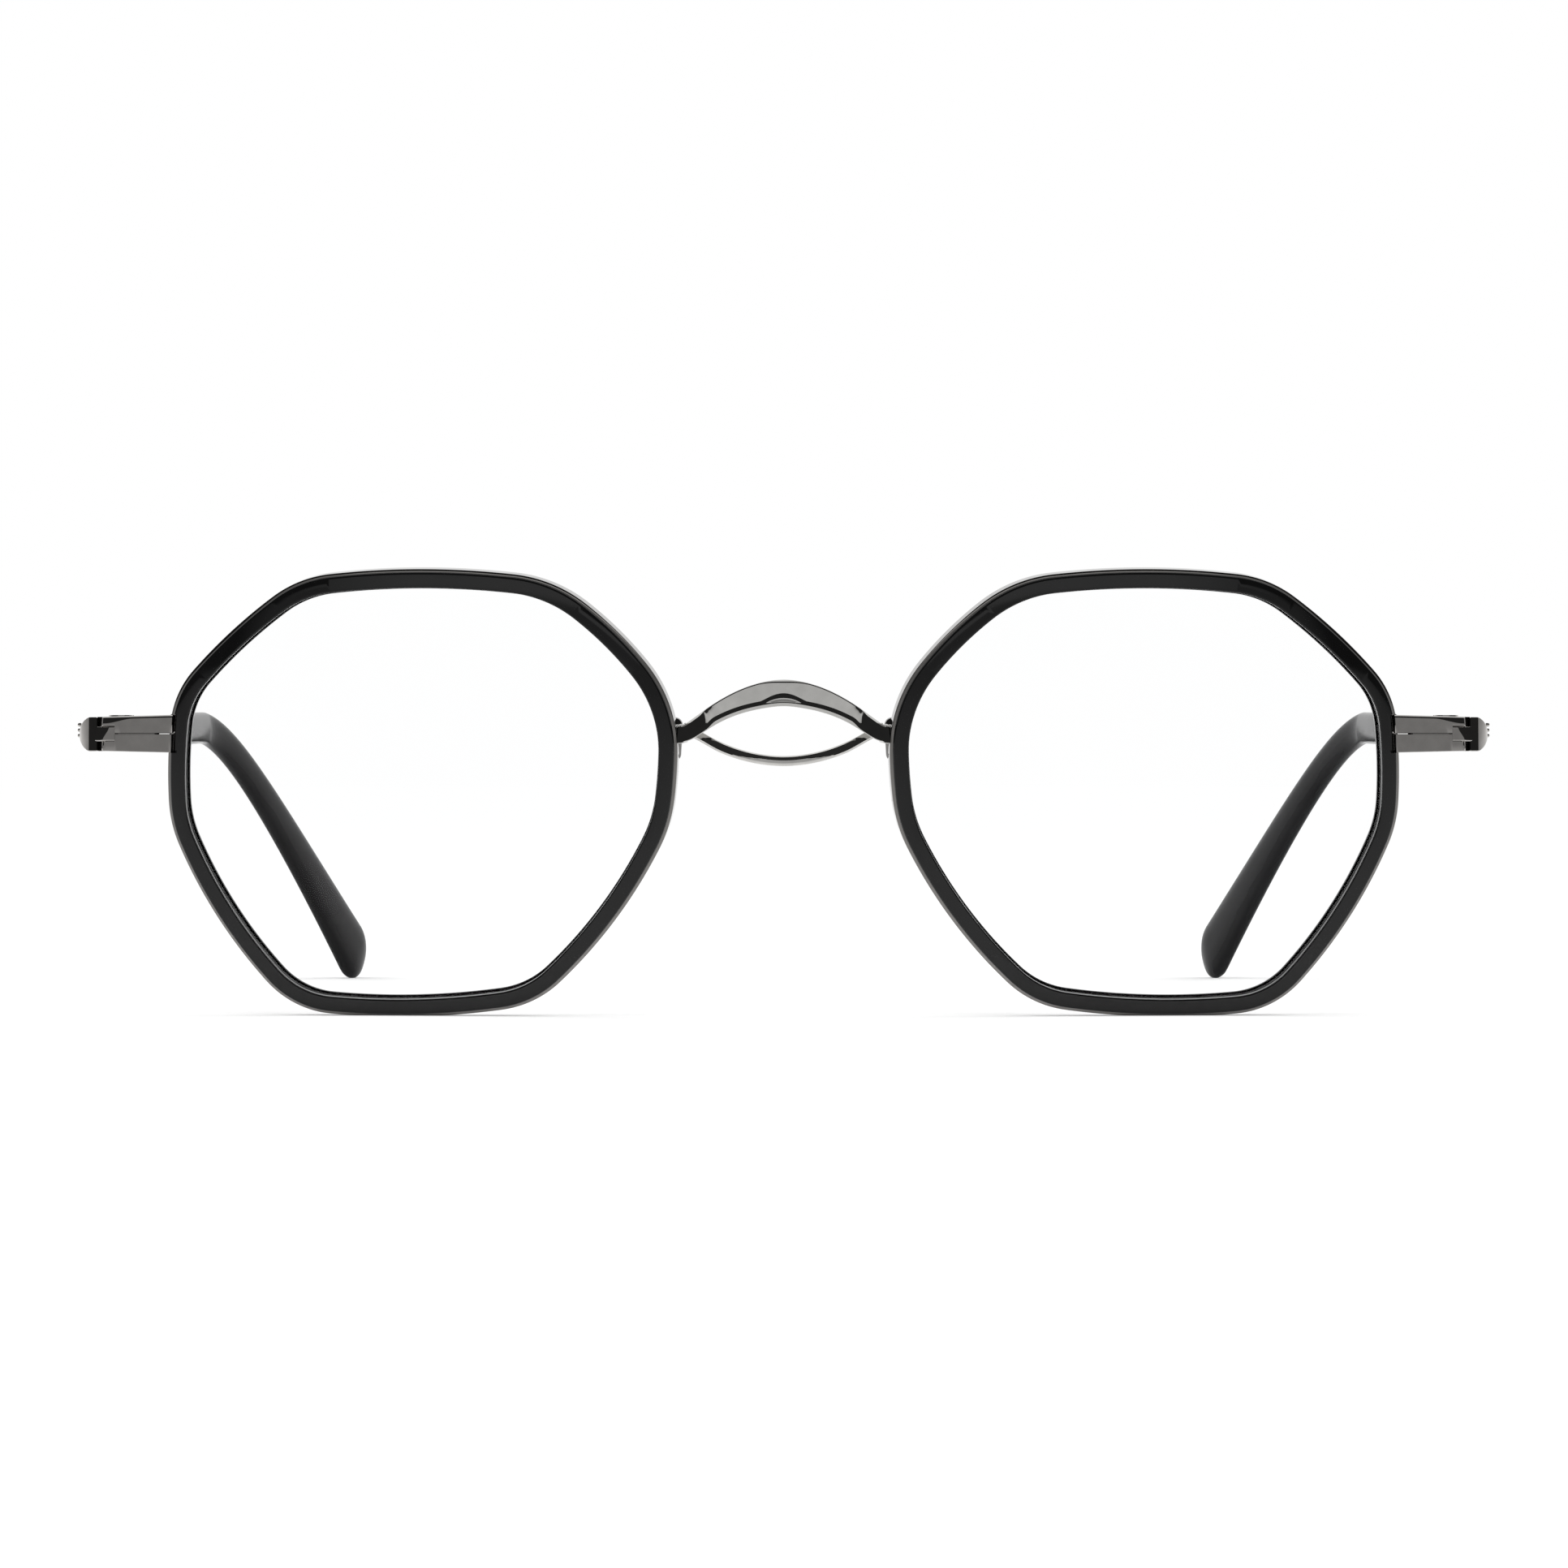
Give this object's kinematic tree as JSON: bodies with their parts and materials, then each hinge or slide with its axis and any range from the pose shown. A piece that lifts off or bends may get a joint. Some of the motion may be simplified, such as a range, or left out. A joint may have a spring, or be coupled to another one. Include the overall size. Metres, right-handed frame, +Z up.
{
  "type": "folding eyeglasses",
  "caption": "Eight-sided metal and plastic eyeglasses with clear lenses, a saddle bridge with an arched upper bar, and folding temples with bent plastic tips.",
  "frame": {"origin": "centre of the box that holds the open glasses, at the level they stand on", "axes": "+Z up, -Y from the temples towards the front, +X towards the wearer's left side"},
  "size_m": [0.1402, 0.1402, 0.0443],
  "materials": {
    "lens": "clear, polished",
    "rim_plastic": "polished black",
    "tip_plastic": "polished black",
    "frame_metal": "dark gunmetal plating, polished",
    "bridge_metal": "gunmetal plating, polished",
    "screw_metal": "bright, polished"
  },
  "bodies": {
    "front": {"lens_left": "lens", "lens_right": "lens", "rim_insert_left": "rim_plastic", "rim_insert_right": "rim_plastic", "eyewire_left": "frame_metal", "eyewire_right": "frame_metal", "bridge_bar": "bridge_metal", "bridge_saddle": "bridge_metal", "bridge_lug_left": "frame_metal", "bridge_lug_right": "frame_metal", "endpiece_left": "frame_metal", "endpiece_right": "frame_metal", "clamp_screw_left": "screw_metal", "clamp_screw_right": "screw_metal"},
    "left_temple": {"temple_left": "frame_metal", "temple_tip_left": "tip_plastic", "temple_rivets_left": "screw_metal", "hinge_screw_left": "screw_metal"},
    "right_temple": {"temple_right": "frame_metal", "temple_tip_right": "tip_plastic", "temple_rivets_right": "screw_metal", "hinge_screw_right": "screw_metal"}
  },
  "joints": [
    {"name": "fold_left", "type": "hinge", "parent": "front", "child": "left_temple", "pos_m": [0.066, -0.06092, 0.02798], "axis": [0, 0, 1], "range_deg": [0, 80]},
    {"name": "fold_right", "type": "hinge", "parent": "front", "child": "right_temple", "pos_m": [-0.066, -0.06092, 0.02798], "axis": [0, 0, -1], "range_deg": [0, 68]}
  ]
}
